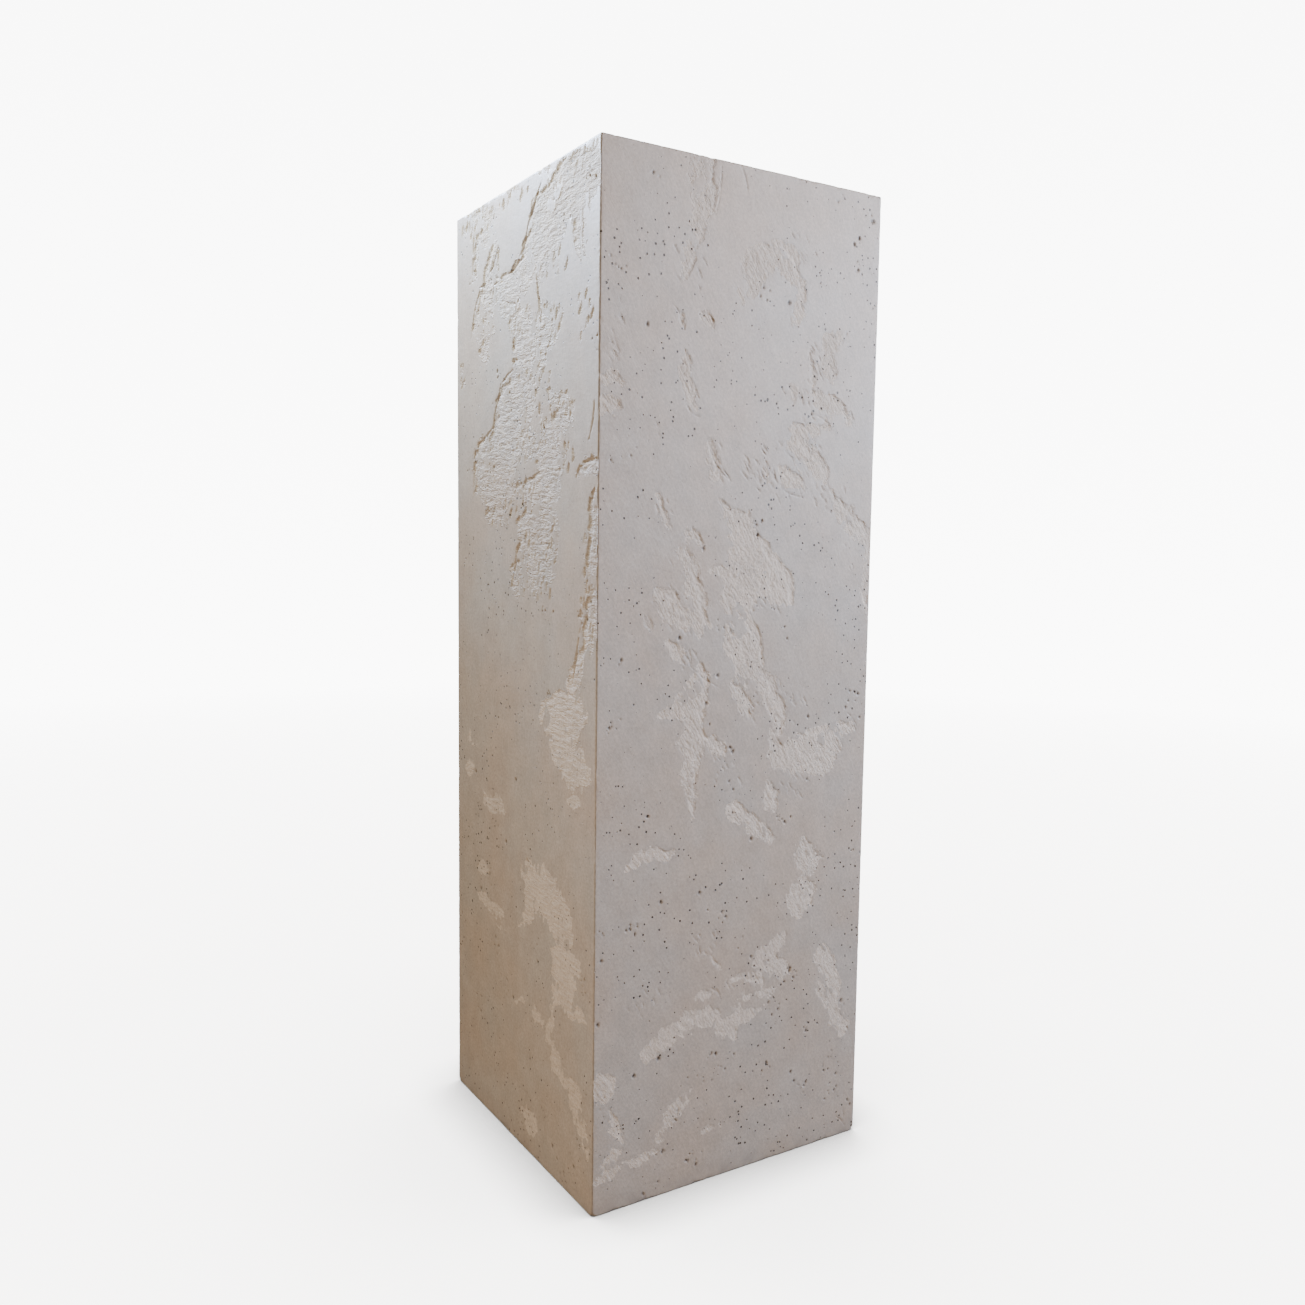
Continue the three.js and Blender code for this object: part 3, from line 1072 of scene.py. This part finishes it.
    def relief(self, board: NodeBoard, rough: Socket, everywhere: Patterns, on_coat: Patterns) -> Socket:
        """Relief too fine for the mesh.

        Args:
            board: the material's nodes.
            rough: how rough the open coat is.
            everywhere: noises with their height in millimetres, on skin and coat alike.
            on_coat: noises with their height in millimetres on the open coat, a little of it on the skin.

        Returns:
            The normal.
        """
        share = board.rescale(rough, (0, 1), (0.06, 1))
        total = board.compute("MULTIPLY", board.noise(self.swell_size, 2, 0.5), 0.4)
        for noise, height in on_coat:
            total = board.compute("MULTIPLY_ADD", board.compute("MULTIPLY", noise, share), height, total)
        for noise, height in everywhere:
            total = board.compute("MULTIPLY_ADD", noise, height, total)
        settings = {"Strength": 1.0, "Distance": MM}
        return board.add("ShaderNodeBump", {"Height": total, **settings}).outputs["Normal"]


@dataclass
class PhotoCamera:
    """Camera at the photograph's place and angle, worked out from the block's corners there.

    Attributes:
        place: where the camera stands.
        yaw_deg: how far it looks to the right of +Y.
        pitch_deg: how far it looks up.
        roll_deg: how far it is turned clockwise.
        focal_px: focal length in pixels of the photograph.
        frame_px: width of the photograph.
        sensor_mm: width of the sensor.
    """

    place: tuple[float, float, float] = (-0.668, -1.068, 0.639)
    yaw_deg: float = 31.94
    pitch_deg: float = -5.3
    roll_deg: float = 0.76
    focal_px: float = 1139.0
    frame_px: int = 1305
    sensor_mm: float = 36.0

    def build(self) -> None:
        """Sets up the camera and makes it the scene's."""
        yaw, pitch, roll = (math.radians(a) for a in (self.yaw_deg, self.pitch_deg, self.roll_deg))
        ahead = Vector((math.sin(yaw), math.cos(yaw), 0))
        forward = ahead * math.cos(pitch) + Vector((0, 0, math.sin(pitch)))
        level = Vector((math.cos(yaw), -math.sin(yaw), 0))
        above = level.cross(forward)
        right = level * math.cos(roll) + above * math.sin(roll)
        up = above * math.cos(roll) - level * math.sin(roll)
        data = bpy.data.cameras.new("photo_camera")
        data.sensor_fit = "HORIZONTAL"
        data.sensor_width = self.sensor_mm
        data.lens = self.focal_px / self.frame_px * self.sensor_mm
        camera = bpy.data.objects.new("photo_camera", data)
        turned = Matrix((right, up, -forward)).transposed().to_4x4()
        camera.matrix_world = Matrix.Translation(self.place) @ turned
        bpy.context.scene.collection.objects.link(camera)
        bpy.context.scene.camera = camera


@dataclass(frozen=True)
class SoftLight:
    """A square soft box.

    Attributes:
        name: the light's name.
        place: where it hangs.
        target: the point that it faces.
        edge: length of its edges.
        watts: its power.
        colour: its colour in sRGB.
        spread_deg: how widely its light fans out.
    """

    name: str
    place: tuple[float, float, float]
    target: tuple[float, float, float]
    edge: float
    watts: float
    colour: str
    spread_deg: float = 180.0

    def build(self) -> bpy.types.Object:
        """Hangs the light, out of the camera's sight."""
        data = bpy.data.lights.new(self.name, "AREA")
        data.shape = "SQUARE"
        data.size = self.edge
        data.energy = self.watts
        data.spread = math.radians(self.spread_deg)
        data.color = linear(self.colour)[:3]
        light = bpy.data.objects.new(self.name, data)
        light.location = self.place
        aim = Vector(self.target) - Vector(self.place)
        light.rotation_euler = aim.to_track_quat("-Z", "Y").to_euler()
        light.visible_camera = False
        bpy.context.scene.collection.objects.link(light)
        LOG.info("light %s: %.0f W", self.name, self.watts)
        return light


# A beam from a high window behind rakes the left side from its upper left, and a lamp close above it fades
# out downwards. A cool window and the warmer room light the front, and the floor throws a warm glow back at
# the left. The last lamp lights only the two sides that the photograph doesn't show.
LIGHTS = (
    SoftLight("window_behind_left", (-0.55, 1.1, 1.7), (-0.165, -0.15, 1.0), 0.4, 7.5, "#C4DAFF", 45.0),
    SoftLight("lamp_left", (-0.42, 0.14, 1.27), (-0.165, 0.03, 1.0), 0.28, 6.0, "#F9FCEE"),
    SoftLight("window_right", (1.2, -1.0, 1.08), (0.05, -0.165, 0.6), 0.8, 51.0, "#C8DAF3"),
    SoftLight("room_front", (1.7, -2.2, 1.9), (0.0, -0.165, 0.8), 1.4, 56.0, "#FFD9BA"),
    SoftLight("floor_glow_left", (-1.3, -0.4, 0.15), (-0.165, 0.0, 0.3), 0.8, 15.6, "#FFE0BE"),
    SoftLight("room_back", (1.7, 2.5, 1.2), (0.1, 0.1, 0.5), 1.6, 60.0, "#FFF6EA"),
)
PAPER_LIGHT = SoftLight("paper_overhead", (0.0, 0.0, 3.2), (0.0, 0.0, 0.0), 2.4, 1000.0, "#FFFFFF")


@dataclass
class Studio:
    """Pale floor that sweeps up into a round backdrop.

    Attributes:
        floor_radius: radius of the flat floor.
        sweep_radius: radius of the bend between floor and wall.
        wall_height: height of the wall above the bend.
        around: number of faces in each ring of the backdrop.
        paper: colour of the paper in sRGB.
        glow: how bright the paper is by itself beside the block.
        far_glow: how bright it is by itself out where its own light doesn't reach.
        glow_start: distance from the block at which it starts to grow brighter.
        shade_reach: how far the shade at the foot of the block reaches out.
        shade_power: how steeply that shade deepens towards the block.
        shade_rays: number of rays that feel for what shades a spot.
        room: colour of the room's light in sRGB.
        ambient: brightness of the room.
    """

    floor_radius: float = 4.0
    sweep_radius: float = 1.5
    wall_height: float = 3.0
    around: int = 96
    paper: str = "#E4E2E0"
    glow: float = 1.2
    far_glow: float = 9.0
    glow_start: float = 0.8
    shade_reach: float = 0.07
    shade_power: float = 1.8
    shade_rays: int = 4
    room: str = "#FFF0E0"
    ambient: float = 0.12

    def profile(self) -> list[tuple[float, float]]:
        """Radius and height of the backdrop's rings, from the middle out and up."""
        flat, sweep = self.floor_radius, self.sweep_radius
        turns = [math.radians(a) for a in range(0, 91, 10)]
        bend = [(flat + sweep * math.sin(turn), sweep * (1 - math.cos(turn))) for turn in turns]
        # Two rings on the flat floor keep its faces from growing long.
        return [(0.6, 0.0), (1.5, 0.0), *bend, (bend[-1][0], bend[-1][1] + self.wall_height)]

    def build(self) -> None:
        """Builds the backdrop and lights the room."""
        mesh = bmesh.new()
        turns = [2 * math.pi * i / self.around for i in range(self.around)]
        circle = [(math.cos(turn), math.sin(turn)) for turn in turns]
        rings = [[mesh.verts.new((r * x, r * y, z)) for x, y in circle] for r, z in self.profile()]
        mesh.faces.new(rings[0])
        for inner, outer in zip(rings, rings[1:]):
            for i in range(self.around):
                j = (i + 1) % self.around
                mesh.faces.new((inner[i], outer[i], outer[j], inner[j]))
        data = bpy.data.meshes.new("studio_floor")
        mesh.to_mesh(data)
        mesh.free()
        data.shade_smooth()
        data.materials.append(self.build_paper())
        floor = bpy.data.objects.new("studio_floor", data)
        # The paper is lit apart from the block, as in a studio, so it throws no light on the block.
        floor.visible_diffuse = False
        floor.visible_glossy = False
        bpy.context.scene.collection.objects.link(floor)
        floor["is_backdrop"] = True
        paper_only = bpy.data.collections.new("paper_only")
        paper_only.objects.link(floor)
        PAPER_LIGHT.build().light_linking.receiver_collection = paper_only
        all_but_paper = bpy.data.collections.new("all_but_paper")
        all_but_paper.objects.link(floor)
        all_but_paper.collection_objects[0].light_linking.link_state = "EXCLUDE"
        for light in LIGHTS:
            light.build().light_linking.receiver_collection = all_but_paper
        world = bpy.data.worlds.new("room")
        bpy.context.scene.world = world
        world.use_nodes = True
        background = world.node_tree.nodes["Background"]
        background.inputs["Color"].default_value = linear(self.room)
        background.inputs["Strength"].default_value = self.ambient

    def build_paper(self) -> bpy.types.Material:
        """Matt paper that glows, with painted shade: its colour and glow darken close to what stands on it.
        """
        board = NodeBoard.for_new("backdrop_paper")
        settings = {"Distance": self.shade_reach, "samples": self.shade_rays}
        hidden = board.add("ShaderNodeAmbientOcclusion", settings).outputs["AO"]
        shade = board.compute("POWER", hidden, self.shade_power)
        away = board.add("ShaderNodeVectorMath", {"operation": "LENGTH", 0: board.place}).outputs["Value"]
        glow = board.rescale(away, (self.glow_start, self.floor_radius), (self.glow, self.far_glow))
        values = {
            "Base Color": board.dim(self.paper, shade),
            "Roughness": 1.0,
            "Specular IOR Level": 0.0,
            "Emission Color": linear("#FFFFFF"),
            "Emission Strength": board.compute("MULTIPLY", glow, shade),
        }
        return board.finish(values)


def main() -> None:
    """Builds the camera, the studio and the block in order, and logs the piece's triangles."""
    logging.basicConfig(level=logging.INFO, format="%(message)s")
    PhotoCamera().build()
    Studio().build()
    block = ConcreteBlock(BlockSize.of_node(NODE))
    block.survey()
    piece = block.build()
    block.dress(piece)
    LOG.info("piece %s: %d triangles", piece.name, len(piece.data.polygons))
    boxes = {"cad": CAD_BOX, "visual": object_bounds()}
    {name: [list(corner) for corner in box] for name, box in boxes.items()}


if __name__ == "__main__":
    main()
